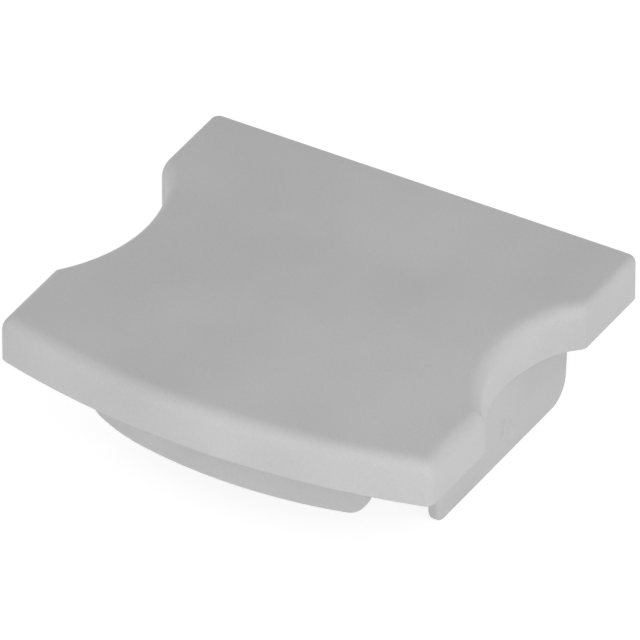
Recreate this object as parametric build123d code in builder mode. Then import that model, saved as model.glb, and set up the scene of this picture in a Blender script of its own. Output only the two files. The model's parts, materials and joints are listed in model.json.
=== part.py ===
import os
from math import asin, cos, degrees, radians, sin, sqrt, tan

from build123d import *

os.makedirs("parts", exist_ok=True)

# Moulded end cap for the cut end of an I-shaped channel profile.
# Lengths are in millimetres. +Z is up, with the outer face on top. The origin
# is on the seating plane, which is the underside of the plate, half way
# between the two waists. The straight back edge is at +Y, the bowed front at -Y.

# Plate, seen from above
back_half = 8.48
back_y = 7.0
front_flare = 0.08
front_y = -8.55
front_radius = 31.0
waist_inset = 1.28
waist_radius = 5.85
lip_chamfer = 0.6
lip_blend = 1.5
corner_round = 0.35

# Plate, seen from the side. Its top edge is rounded less behind the lips.
plate_thick = 1.82
top_round = 0.55
back_round = 0.3
rim_round = 0.08

# Two side tabs that slide down inside the channel. The channel's wall at the
# waist lies between the waist and the outer face of a tab.
waist_wall = 1.05
tab_depth = 4.5
tab_front_y = -2.75
tab_back_y = 6.05
tab_back_lean = 5.0
tab_root_thick = 0.62
tab_tip_thick = 0.38
tab_front_round = 0.45
tab_back_round = 1.0
tab_foot = 0.2

# Small grip wedge on the outer face of each tab
grip_y = 2.0
grip_width = 1.0
grip_top = 2.75
grip_low = 3.7
grip_proud = 0.2

# Curved rib behind the bowed front. On the left it bends back in a tighter arc
# and ends a little past the tab's outer face. On the right it ends short of it.
rib_face_y = -6.7
rib_radius = 18.0
rib_bend_x = 3.4
rib_bend_radius = 8.0
rib_past = 0.15
rib_short = 1.0
rib_thick = 0.6
rib_depth = 2.5
rib_low_round = 0.7

# Softening along the free edges of the tabs and of the rib
tab_edge = 0.1
rib_edge = 0.15

# Places that follow from the sizes above
front_half = back_half + front_flare
waist_half = back_half - waist_inset
tab_face_x = waist_half - waist_wall
rib_left = tab_face_x + rib_past
rib_right = tab_face_x - rib_short
waist_centre_x = waist_half + waist_radius
lip_x = back_half - lip_chamfer
lip_y = sqrt(waist_radius**2 - (waist_centre_x - lip_x) ** 2)
flange_y = -sqrt(waist_radius**2 - (waist_centre_x - front_half) ** 2)
front_corner_y = front_y + front_radius - sqrt(front_radius**2 - front_half**2)


def free_edges(wall, rim):
    """Return the sharp edges all round the rim faces of a wall, not those at its root."""
    shared = [e for e in wall.edges() if sum(e in f.edges() for f in rim) == 1]
    return [e for e in shared if e.center().Z < -0.01]


with BuildPart() as plate:
    with BuildSketch(Plane.XY) as outline:
        with BuildLine():
            Polyline(
                (0, back_y),
                (back_half, back_y),
                (back_half, lip_y + lip_chamfer),
                (lip_x, lip_y),
            )
            ThreePointArc((lip_x, lip_y), (waist_half, 0), (front_half, flange_y))
            Line((front_half, flange_y), (front_half, front_corner_y))
            RadiusArc((front_half, front_corner_y), (0, front_y), front_radius)
            mirror(about=Plane.YZ)
        make_face()
        ends = [v for v in outline.vertices() if abs(v.Y) > -flange_y + 1]
        fillet([v for v in ends if abs(v.X) > waist_half], corner_round)
        lips = [v for v in outline.vertices() if abs(v.Y - lip_y) < lip_chamfer / 2]
        fillet(lips, lip_blend)
    extrude(amount=plate_thick)
    upper = plate.faces().sort_by(Axis.Z)[-1].outer_wire().edges()
    fillet([e for e in upper if e.center().Y < lip_y], top_round)
    upper = [e for e in plate.edges() if e.bounding_box().min.Z > plate_thick - 0.01]
    fillet([e for e in upper if e.center().Y > lip_y + 0.01], back_round)
    fillet(plate.faces().sort_by(Axis.Z)[0].outer_wire().edges(), rim_round)

# One tab: its wall tapers down to a thin lower edge
lean = tab_depth * tan(radians(tab_back_lean))
with BuildPart() as tab:
    with BuildSketch(Plane.XZ.offset(-tab_back_y - lean)):
        with BuildLine():
            Polyline(
                (tab_face_x - tab_root_thick, 0),
                (tab_face_x, 0),
                (tab_face_x, -tab_depth),
                (tab_face_x - tab_tip_thick, -tab_depth),
                close=True,
            )
        make_face()
    extrude(amount=tab_back_y + lean - tab_front_y)
    with BuildSketch(Plane.YZ) as side:
        with BuildLine():
            Polyline(
                (tab_front_y, 0),
                (tab_front_y, -tab_depth),
                (tab_back_y, -tab_depth),
                (tab_back_y + lean, 0),
                close=True,
            )
        make_face()
        fillet(side.vertices().sort_by(Axis.Y)[:2].sort_by(Axis.X)[0], tab_front_round)
        fillet(side.vertices().sort_by(Axis.X)[-2:].sort_by(Axis.Y)[0], tab_back_round)
    extrude(amount=tab_face_x * 2, mode=Mode.INTERSECT)
    rim = tab.faces().filter_by(lambda f: abs(f.normal_at().X) < 0.5)
    fillet(free_edges(tab, rim), tab_edge)
    with BuildSketch(Plane.XZ.offset(tab_front_round - tab_back_y)):
        with BuildLine():
            root_x = tab_face_x - tab_root_thick
            foot_x = root_x + tab_foot * (tab_root_thick - tab_tip_thick) / tab_depth
            inside_x = foot_x + tab_tip_thick / 2
            Polyline(
                (root_x - tab_foot, 0),
                (inside_x, 0),
                (inside_x, -tab_foot),
                (foot_x, -tab_foot),
            )
            RadiusArc((foot_x, -tab_foot), (root_x - tab_foot, 0), tab_foot)
        make_face()
    extrude(amount=tab_back_y - tab_front_y - 2 * tab_front_round)
    with BuildSketch(Plane.XY.offset(-grip_low)) as base:
        with BuildLine():
            Polyline(
                (tab_face_x - grip_proud, grip_y - grip_width),
                (tab_face_x + grip_proud, grip_y),
                (tab_face_x - grip_proud, grip_y + grip_width),
                close=True,
            )
        make_face()
    loft([base.face(), Vertex(tab_face_x - grip_proud, grip_y, grip_low - 2 * grip_top)])

# Curved rib: an arc, then a tighter arc that carries it on to the left end
turn = asin(rib_bend_x / rib_radius)
bend_x = -(rib_radius - rib_bend_radius) * sin(turn)
bend_y = rib_face_y + rib_radius - (rib_radius - rib_bend_radius) * cos(turn)
right_angle = -90 + degrees(asin(rib_right / (rib_radius - rib_thick)))
turn_angle = -90 - degrees(turn)
left_sine = (rib_left + bend_x) / (rib_bend_radius - rib_thick)
left_angle = -90 - degrees(asin(left_sine))
with BuildPart() as rib:
    with BuildSketch(Plane.XY) as plan:
        with BuildLine():
            centre = (0, rib_face_y + rib_radius)
            bend = (bend_x, bend_y)
            middle = turn_angle - right_angle
            end = left_angle - turn_angle
            a = CenterArc(centre, rib_radius, right_angle, middle)
            b = CenterArc(bend, rib_bend_radius, turn_angle, end)
            c = CenterArc(centre, rib_radius - rib_thick, right_angle, middle)
            d = CenterArc(bend, rib_bend_radius - rib_thick, turn_angle, end)
            Line(a @ 0, c @ 0)
            Line(b @ 1, d @ 1)
        make_face()
    extrude(amount=-rib_depth)
    with BuildSketch(Plane.XZ) as front:
        with BuildLine():
            Polyline(
                (-rib_left, 0),
                (-rib_left, -rib_depth),
                (rib_right, -rib_depth),
                (rib_right, 0),
                close=True,
            )
        make_face()
        fillet(front.vertices().group_by(Axis.Y)[0], rib_low_round)
    extrude(amount=-rib_face_y + rib_thick, mode=Mode.INTERSECT)
    rim = rib.faces().filter_by(lambda f: abs(f.normal_at().Y) < 0.3)
    fillet(free_edges(rib, rim), rib_edge)

with BuildPart() as end_cap:
    add(plate.part)
    add(tab.part)
    add(mirror(tab.part, about=Plane.YZ))
    add(rib.part)

end_cap.part.label = "end_cap"
export_step(end_cap.part, "parts/end_cap.step")
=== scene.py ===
"""Looks of a moulded profile end cap: plastic, pale floor, soft light and camera.

The cap is one moulding in light grey ABS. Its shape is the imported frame's own
node, which keeps its mesh and gets the plastic by its material slot. Only the
small grip wedge on the outer face of each tab is made here.
"""

import json
import logging
import math
from dataclasses import dataclass, field
from enum import Enum
from typing import Any

import bpy
import numpy as np
from mathutils import Matrix, Vector

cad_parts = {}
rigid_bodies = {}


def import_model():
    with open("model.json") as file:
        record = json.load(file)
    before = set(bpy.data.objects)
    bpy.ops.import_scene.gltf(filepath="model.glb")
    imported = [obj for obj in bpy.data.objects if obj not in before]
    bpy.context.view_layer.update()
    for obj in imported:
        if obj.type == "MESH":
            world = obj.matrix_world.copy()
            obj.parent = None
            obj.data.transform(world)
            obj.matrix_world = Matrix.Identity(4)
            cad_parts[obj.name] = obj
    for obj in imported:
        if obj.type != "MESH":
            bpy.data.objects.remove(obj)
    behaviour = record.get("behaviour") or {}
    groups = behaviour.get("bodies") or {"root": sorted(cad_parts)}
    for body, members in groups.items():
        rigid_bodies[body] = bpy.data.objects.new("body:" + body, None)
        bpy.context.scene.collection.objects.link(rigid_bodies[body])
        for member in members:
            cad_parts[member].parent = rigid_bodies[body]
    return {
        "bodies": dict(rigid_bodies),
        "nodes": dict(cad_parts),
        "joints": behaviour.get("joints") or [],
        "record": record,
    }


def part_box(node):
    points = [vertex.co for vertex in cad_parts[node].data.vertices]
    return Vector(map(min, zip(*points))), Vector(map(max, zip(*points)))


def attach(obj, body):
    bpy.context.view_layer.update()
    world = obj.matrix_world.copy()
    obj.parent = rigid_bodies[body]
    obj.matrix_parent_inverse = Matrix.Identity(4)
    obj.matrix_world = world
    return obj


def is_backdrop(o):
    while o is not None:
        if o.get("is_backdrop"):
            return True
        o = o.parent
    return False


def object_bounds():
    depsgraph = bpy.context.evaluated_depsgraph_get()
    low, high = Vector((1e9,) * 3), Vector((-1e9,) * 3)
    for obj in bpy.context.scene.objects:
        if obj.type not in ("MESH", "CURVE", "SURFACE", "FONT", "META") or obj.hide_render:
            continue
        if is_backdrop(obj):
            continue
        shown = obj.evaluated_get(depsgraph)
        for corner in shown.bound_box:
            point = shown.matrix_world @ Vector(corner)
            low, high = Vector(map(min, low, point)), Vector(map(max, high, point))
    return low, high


log = logging.getLogger("end_cap")

MM = 0.001
PICTURE_SIDE = 640
WHITE = (1.0, 1.0, 1.0, 1.0)

# Numbers of the sRGB standard: its white, and those of its curve
SRGB_WHITE = 255.0
SRGB_KNEE = 0.04045
SRGB_SLOPE = 12.92
SRGB_OFFSET = 0.055
SRGB_POWER = 2.4

# Number of the Mix node's output that holds the mixed colour
MIX_COLOUR = 2


def linear(hex_colour: str) -> tuple[float, float, float, float]:
    """Turn an sRGB hex colour into linear RGBA.

    Args:
        hex_colour: Six hex digits, with or without a leading hash.

    Returns:
        The linear red, green and blue, and an alpha of 1.
    """
    srgb = np.array(list(bytes.fromhex(hex_colour.lstrip("#")))) / SRGB_WHITE
    curve = ((srgb + SRGB_OFFSET) / (1.0 + SRGB_OFFSET)) ** SRGB_POWER
    red, green, blue = np.where(srgb <= SRGB_KNEE, srgb / SRGB_SLOPE, curve)
    return (float(red), float(green), float(blue), 1.0)


def add_node(
    tree: bpy.types.NodeTree,
    kind: str,
    settings: dict[str, Any] | None = None,
    inputs: dict[str | int, Any] | None = None,
) -> bpy.types.Node:
    """Add one shader node with its settings, values and links.

    Args:
        tree: The node tree that gets the node.
        kind: The node's type name.
        settings: Properties to set on the node itself.
        inputs: Values or output sockets for its inputs, by name or number.

    Returns:
        The new node.
    """
    node = tree.nodes.new(kind)
    for name, value in (settings or {}).items():
        setattr(node, name, value)
    for key, value in (inputs or {}).items():
        socket = node.inputs[key]
        if isinstance(value, bpy.types.NodeSocket):
            tree.links.new(value, socket)
        else:
            socket.default_value = value
    return node


def empty_material(name: str) -> bpy.types.Material:
    """Make a node material with no nodes in it.

    Args:
        name: The material's name.

    Returns:
        The new material.
    """
    material = bpy.data.materials.new(name)
    material.use_nodes = True
    material.node_tree.nodes.clear()
    return material


def add_object(name: str, data: Any) -> bpy.types.Object:
    """Put a mesh, lamp or camera into the scene.

    Args:
        name: The object's name.
        data: What the object shows.

    Returns:
        The new object, at the origin.
    """
    thing = bpy.data.objects.new(name, data)
    bpy.context.scene.collection.objects.link(thing)
    return thing


def seen_directly(tree: bpy.types.NodeTree) -> bpy.types.NodeSocket:
    """Tell rays from the camera, by reflection or through glass from all others.

    Args:
        tree: The node tree that gets the nodes.

    Returns:
        A socket that is 1 for camera, glossy and transmission rays, and 0 for
        the rays that only light the scene.
    """
    path = add_node(tree, "ShaderNodeLightPath")
    mirrored = add_node(
        tree,
        "ShaderNodeMath",
        {"operation": "MAXIMUM"},
        {0: path.outputs["Is Glossy Ray"], 1: path.outputs["Is Transmission Ray"]},
    )
    seen = add_node(
        tree,
        "ShaderNodeMath",
        {"operation": "MAXIMUM"},
        {0: path.outputs["Is Camera Ray"], 1: mirrored.outputs["Value"]},
    )
    return seen.outputs["Value"]


def towards(azimuth: float, elevation: float) -> Vector:
    """Give the unit vector that points from the cap in a direction.

    Args:
        azimuth: Degrees from the front, positive to the right.
        elevation: Degrees above the horizon.

    Returns:
        The direction as a vector of length 1.
    """
    turn, rise = math.radians(azimuth), math.radians(elevation)
    flat = math.cos(rise)
    return Vector((math.sin(turn) * flat, -math.cos(turn) * flat, math.sin(rise)))


class MouldFinish(Enum):
    """How the steel of the mould was finished, as the share of grain it leaves."""

    FINE_SPARK = 1.0
    POLISHED = 0.4


@dataclass(frozen=True)
class MouldedAbs:
    """Light grey ABS as it comes out of the mould.

    To the eye it is a satin, slightly chalky grey: broad soft highlights on
    the rounded edges, a very fine even grain, and faint paler flow clouds.
    """

    colour: str = "#B7B7B7"
    cloud_colour: str = "#BFBFBF"
    roughness: float = 0.5
    roughness_spread: float = 0.05
    ior: float = 1.54
    cloud_mm: float = 4.5
    cloud_detail: float = 2.0
    cloud_roughness: float = 0.45
    # Real grain is finer, about 0.03 mm. It is drawn coarser so that it shows.
    grain_mm: float = 0.09
    grain_height_mm: float = 0.006
    grain_detail: float = 3.0
    grain_roughness: float = 0.6
    speckle: float = 0.035
    mould: MouldFinish = MouldFinish.FINE_SPARK
    # Between these values a noise texture has nearly all of its range
    noise_low: float = 0.3
    noise_high: float = 0.7

    def noise(
        self,
        tree: bpy.types.NodeTree,
        spacing_mm: float,
        detail: float,
        roughness: float,
    ) -> bpy.types.NodeSocket:
        """Add a noise texture on Object coordinates.

        Args:
            tree: The node tree that gets the nodes.
            spacing_mm: The real size of its largest spots.
            detail: How many finer layers it has.
            roughness: How strong the finer layers are.

        Returns:
            The socket with its value.
        """
        where = add_node(tree, "ShaderNodeTexCoord").outputs["Object"]
        texture = add_node(
            tree,
            "ShaderNodeTexNoise",
            inputs={
                "Vector": where,
                "Scale": 1.0 / (spacing_mm * MM),
                "Detail": detail,
                "Roughness": roughness,
            },
        )
        return texture.outputs["Fac"]

    def stretch(
        self,
        tree: bpy.types.NodeTree,
        value: bpy.types.NodeSocket,
        low: float,
        high: float,
    ) -> bpy.types.NodeSocket:
        """Spread a noise value over a range.

        Args:
            tree: The node tree that gets the node.
            value: The noise value.
            low: The result where the noise is low.
            high: The result where the noise is high.

        Returns:
            The socket with the result.
        """
        spread = add_node(
            tree,
            "ShaderNodeMapRange",
            inputs={
                "Value": value,
                "From Min": self.noise_low,
                "From Max": self.noise_high,
                "To Min": low,
                "To Max": high,
            },
        )
        return spread.outputs["Result"]

    def flecked_colour(
        self, tree: bpy.types.NodeTree, grain: bpy.types.NodeSocket
    ) -> bpy.types.NodeSocket:
        """Mix the grey with its flow clouds, a little paler or darker by the grain.

        Args:
            tree: The node tree that gets the nodes.
            grain: The grain's noise value.

        Returns:
            The socket with the colour.
        """
        clouds = self.noise(
            tree, self.cloud_mm, self.cloud_detail, self.cloud_roughness
        )
        clouded = add_node(
            tree,
            "ShaderNodeMix",
            {"data_type": "RGBA"},
            {
                "Factor": self.stretch(tree, clouds, 0.0, 1.0),
                "A": linear(self.colour),
                "B": linear(self.cloud_colour),
            },
        )
        fleck = self.stretch(tree, grain, 1.0 - self.speckle, 1.0 + self.speckle)
        flecked = add_node(
            tree,
            "ShaderNodeVectorMath",
            {"operation": "SCALE"},
            {"Vector": clouded.outputs[MIX_COLOUR], "Scale": fleck},
        )
        return flecked.outputs["Vector"]

    def material(self) -> bpy.types.Material:
        """Build the plastic as a node material.

        Returns:
            A material on Object coordinates, its scales from real millimetres.
        """
        material = empty_material("abs_moulded_light_grey")
        tree = material.node_tree
        grain = self.noise(
            tree, self.grain_mm, self.grain_detail, self.grain_roughness
        )
        rough = add_node(
            tree,
            "ShaderNodeMapRange",
            inputs={
                "Value": grain,
                "To Min": self.roughness - self.roughness_spread,
                "To Max": self.roughness + self.roughness_spread,
            },
        )
        bump = add_node(
            tree,
            "ShaderNodeBump",
            inputs={
                "Strength": 1.0,
                "Distance": self.grain_height_mm * self.mould.value * MM,
                "Height": grain,
            },
        )
        shader = add_node(
            tree,
            "ShaderNodeBsdfPrincipled",
            inputs={
                "Base Color": self.flecked_colour(tree, grain),
                "Roughness": rough.outputs["Result"],
                "IOR": self.ior,
                "Normal": bump.outputs["Normal"],
            },
        )
        add_node(
            tree,
            "ShaderNodeOutputMaterial",
            inputs={"Surface": shader.outputs["BSDF"]},
        )
        return material


@dataclass(frozen=True)
class PaperFloor:
    """White paper under the cap: matt, and seen white, with the cap's soft shadow.

    Seen directly, it glows a little and its grey share takes the shadow, so
    that the two together are white in the light. Its colour is what the other
    rays meet.
    """

    colour: str = "#FAFAFA"
    glow: float = 0.8
    shaded: float = 0.36

    def material(self) -> bpy.types.Material:
        """Build the paper, which looks white and lights the cap as plain pale paper.

        Returns:
            A material whose direct rays see a lit white, and others a matt pale grey.
        """
        material = empty_material("paper_white")
        tree = material.node_tree
        matt = add_node(
            tree, "ShaderNodeBsdfDiffuse", inputs={"Color": linear(self.colour)}
        )
        thin = add_node(
            tree,
            "ShaderNodeBsdfDiffuse",
            inputs={"Color": (self.shaded, self.shaded, self.shaded, 1.0)},
        )
        light = add_node(
            tree,
            "ShaderNodeEmission",
            inputs={"Color": WHITE, "Strength": self.glow},
        )
        bright = add_node(
            tree,
            "ShaderNodeAddShader",
            inputs={0: thin.outputs["BSDF"], 1: light.outputs["Emission"]},
        )
        mix = add_node(
            tree,
            "ShaderNodeMixShader",
            inputs={
                0: seen_directly(tree),
                1: matt.outputs["BSDF"],
                2: bright.outputs["Shader"],
            },
        )
        add_node(
            tree,
            "ShaderNodeOutputMaterial",
            inputs={"Surface": mix.outputs["Shader"]},
        )
        return material


@dataclass
class GripWedge:
    """A small wedge moulded on the outer face of a tab, which bites into the channel.

    It is narrow and flat at its top, stands out furthest below its middle, and
    ends in a flat lower end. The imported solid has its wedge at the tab's root
    by mistake, so the one at the photo's place is made here.
    """

    face_x_mm: float = 6.15
    centre_y_mm: float = 2.0
    top_mm: float = -2.75
    low_mm: float = -3.7
    half_width_mm: float = 0.4
    top_width_share: float = 0.3
    proud_mm: float = 0.24
    root_mm: float = 0.02
    sunk_mm: float = 0.1
    first_row: float = 0.02
    peak_share: float = 0.7
    across: int = 25
    down: int = 17

    def mesh(self, side: int) -> bpy.types.Mesh:
        """Work out the wedge as one closed skin.

        With u from -1 to 1 across it and v from 0 to 1 down it, its width is
        w = top share + (1 - top share) v and its swell is
        s = sin(pi v peak share) times cos(pi u / 2) squared. The outer skin is
        x = side (face - root + (proud + root) s), y = centre + half width u w
        and z = top + (low - top) v. Each row of it is closed by two points
        inside the tab's wall.

        Args:
            side: 1 for the tab at +X, -1 for the one at -X.

        Returns:
            The mesh, in metres, with its faces outwards.
        """
        u = np.linspace(-1.0, 1.0, self.across)
        v = np.linspace(self.first_row, 1.0, self.down)[:, None]
        swell = np.sin(np.pi * v * self.peak_share) * np.cos(np.pi * u / 2.0) ** 2
        width = self.top_width_share + (1.0 - self.top_width_share) * v
        x = self.face_x_mm - self.root_mm + (self.proud_mm + self.root_mm) * swell
        y = self.centre_y_mm + self.half_width_mm * u * width
        z = np.broadcast_to(self.top_mm + (self.low_mm - self.top_mm) * v, x.shape)
        skin = np.stack([x, y, z], axis=-1)
        inner = skin[:, [-1, 0], :].copy()
        inner[:, :, 0] = self.face_x_mm - self.sunk_mm
        rows = np.concatenate([skin, inner], axis=1) * [side, 1.0, 1.0]
        count = rows.shape[1]
        row, place = np.meshgrid(
            np.arange(self.down - 1), np.arange(count), indexing="ij"
        )
        upper, following = row * count, (place + 1) % count
        lower = upper + count
        quads = [upper + place, lower + place, lower + following, upper + following]
        faces = np.stack(quads, axis=-1).reshape(-1, len(quads)).tolist()
        faces.append(list(range(count)))
        faces.append(list(range((self.down - 1) * count, self.down * count))[::-1])
        if side < 0:
            faces = [face[::-1] for face in faces]
        mesh = bpy.data.meshes.new("grip_wedge")
        mesh.from_pydata((rows.reshape(-1, 3) * MM).tolist(), [], faces)
        mesh.validate()
        return mesh

    def build(self, plastic: bpy.types.Material, slot: str) -> None:
        """Make the wedge on both tabs, in the cap's own plastic.

        Args:
            plastic: The cap's material.
            slot: The record's material slot of the cap. Not used.
        """
        for name, side in (("grip_wedge_right", 1), ("grip_wedge_left", -1)):
            piece = add_object(name, self.mesh(side))
            piece.data.materials.append(plastic)
            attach(piece, "root")
            log.info("%s stands out %.2f mm", name, self.proud_mm)


@dataclass
class EndCap:
    """The cap itself, one moulding with plate, tabs and rib."""

    node: str = "end_cap"
    finish: MouldedAbs = field(default_factory=MouldedAbs)
    grip: GripWedge = field(default_factory=GripWedge)

    def dress(self, frame: dict[str, Any]) -> None:
        """Give the frame's node the moulded plastic, and its tabs their wedges.
        """
        cap = frame["nodes"][self.node]
        plastic = self.finish.material()
        cap.data.materials.clear()
        cap.data.materials.append(plastic)
        low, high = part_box(self.node)
        log.info("%s dressed, %.1f mm wide", self.node, (high.x - low.x) / MM)
        self.grip.build(plastic, self.node)


@dataclass(frozen=True)
class SoftLamp:
    """One square soft box, placed by the direction that it shines from."""

    name: str
    azimuth: float
    elevation: float
    watts: float
    side_mm: float = 90.0
    distance_mm: float = 120.0

    def place(self, target: Vector) -> None:
        """Add the lamp, turned towards the target.

        Args:
            target: The point it shines at, in metres.
        """
        data = bpy.data.lights.new(self.name, "AREA")
        data.shape = "SQUARE"
        data.size = self.side_mm * MM
        data.energy = self.watts
        lamp = add_object(self.name, data)
        away = towards(self.azimuth, self.elevation)
        lamp.location = target + away * self.distance_mm * MM
        lamp.rotation_euler = away.to_track_quat("Z", "Y").to_euler()


@dataclass
class Studio:
    """Floor, world, lamps and camera."""

    turn: float = 30.463
    rise: float = 35.558
    pixels_per_mm: float = 29.121
    aim_mm: tuple[float, float, float] = (0.0, -0.819, 0.0)
    shift_right_mm: float = 0.292
    shift_up_mm: float = 0.610
    distance_mm: float = 713.0
    sensor_mm: float = 9.0
    clip_mm: tuple[float, float] = (10.0, 20000.0)
    floor_side_mm: float = 3000.0
    overhead: float = 0.413
    all_round: float = 2.477
    fall_off: float = 4.0
    lamps: tuple[SoftLamp, ...] = (
        SoftLamp("soft_right", azimuth=55.0, elevation=35.0, watts=0.0406),
        SoftLamp("soft_front", azimuth=10.0, elevation=35.0, watts=0.0209),
    )

    def add_floor(self, height: float) -> None:
        """Lay the paper floor at a height, as one square sheet.

        Args:
            height: The floor's height in metres.
        """
        half = self.floor_side_mm * MM / 2
        outline = [(-half, -half), (half, -half), (half, half), (-half, half)]
        mesh = bpy.data.meshes.new("floor")
        mesh.from_pydata([(x, y, height) for x, y in outline], [], [(0, 1, 2, 3)])
        mesh.materials.append(PaperFloor().material())
        add_object("floor", mesh)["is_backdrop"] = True

    def add_world(self) -> None:
        """Fill the room with light that is seen directly as plain white.

        The light is that of a round white tent: at a height h above the floor,
        on a sphere of radius 1, its strength is overhead + (all_round - overhead)
        times (1 - h) to the power fall_off.
        """
        world = bpy.data.worlds.new("room")
        bpy.context.scene.world = world
        world.use_nodes = True
        tree = world.node_tree
        tree.nodes.clear()
        sky = add_node(tree, "ShaderNodeTexCoord").outputs["Generated"]
        height = add_node(tree, "ShaderNodeSeparateXYZ", inputs={"Vector": sky})
        below = add_node(
            tree,
            "ShaderNodeMapRange",
            inputs={"Value": height.outputs["Z"], "To Min": 1.0, "To Max": 0.0},
        )
        fall = add_node(
            tree,
            "ShaderNodeMath",
            {"operation": "POWER"},
            {0: below.outputs["Result"], 1: self.fall_off},
        )
        strength = add_node(
            tree,
            "ShaderNodeMath",
            {"operation": "MULTIPLY_ADD"},
            {
                0: fall.outputs["Value"],
                1: self.all_round - self.overhead,
                2: self.overhead,
            },
        )
        room = add_node(
            tree,
            "ShaderNodeBackground",
            inputs={"Color": WHITE, "Strength": strength.outputs["Value"]},
        )
        white = add_node(
            tree, "ShaderNodeBackground", inputs={"Color": WHITE, "Strength": 1.0}
        )
        mix = add_node(
            tree,
            "ShaderNodeMixShader",
            inputs={
                0: seen_directly(tree),
                1: room.outputs["Background"],
                2: white.outputs["Background"],
            },
        )
        add_node(
            tree,
            "ShaderNodeOutputWorld",
            inputs={"Surface": mix.outputs["Shader"]},
        )

    def add_camera(self) -> None:
        """Place the camera at the photograph's angle, far off with a long lens."""
        turn = math.radians(self.turn)
        right = Vector((math.cos(turn), math.sin(turn), 0.0))
        back = towards(self.turn, self.rise)
        up = back.cross(right)
        shift = right * self.shift_right_mm + up * self.shift_up_mm
        aim = Vector(self.aim_mm) + shift
        data = bpy.data.cameras.new("camera")
        data.sensor_fit = "HORIZONTAL"
        data.sensor_width = self.sensor_mm
        focal_pixels = self.pixels_per_mm * self.distance_mm
        data.lens = focal_pixels * self.sensor_mm / PICTURE_SIDE
        data.clip_start, data.clip_end = (limit * MM for limit in self.clip_mm)
        camera = add_object("camera", data)
        axes = Matrix((right, up, back)).transposed().to_4x4()
        place = (aim + back * self.distance_mm) * MM
        camera.matrix_world = Matrix.Translation(place) @ axes
        bpy.context.scene.camera = camera

    def build(self, lowest: float) -> None:
        """Set up everything round the cap.

        Args:
            lowest: The cap's lowest height in metres, where the floor goes.
        """
        bpy.context.scene.view_settings.view_transform = "Standard"
        self.add_floor(lowest)
        self.add_world()
        for lamp in self.lamps:
            lamp.place(Vector(self.aim_mm) * MM)
        self.add_camera()
        log.info("studio built with %d lamps", len(self.lamps))


def corners(box: Any) -> list[list[float]]:
    """Turn a box's lowest and highest corner into plain lists of numbers."""
    return [[float(v) for v in corner] for corner in box]


def main() -> None:
    """Load the frame, dress the cap and set up the studio."""
    logging.basicConfig(level=logging.INFO, format="%(name)s: %(message)s")
    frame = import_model()
    before = corners(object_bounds())
    EndCap().dress(frame)
    lowest = before[0][2]
    Studio().build(lowest)


if __name__ == "__main__":
    main()
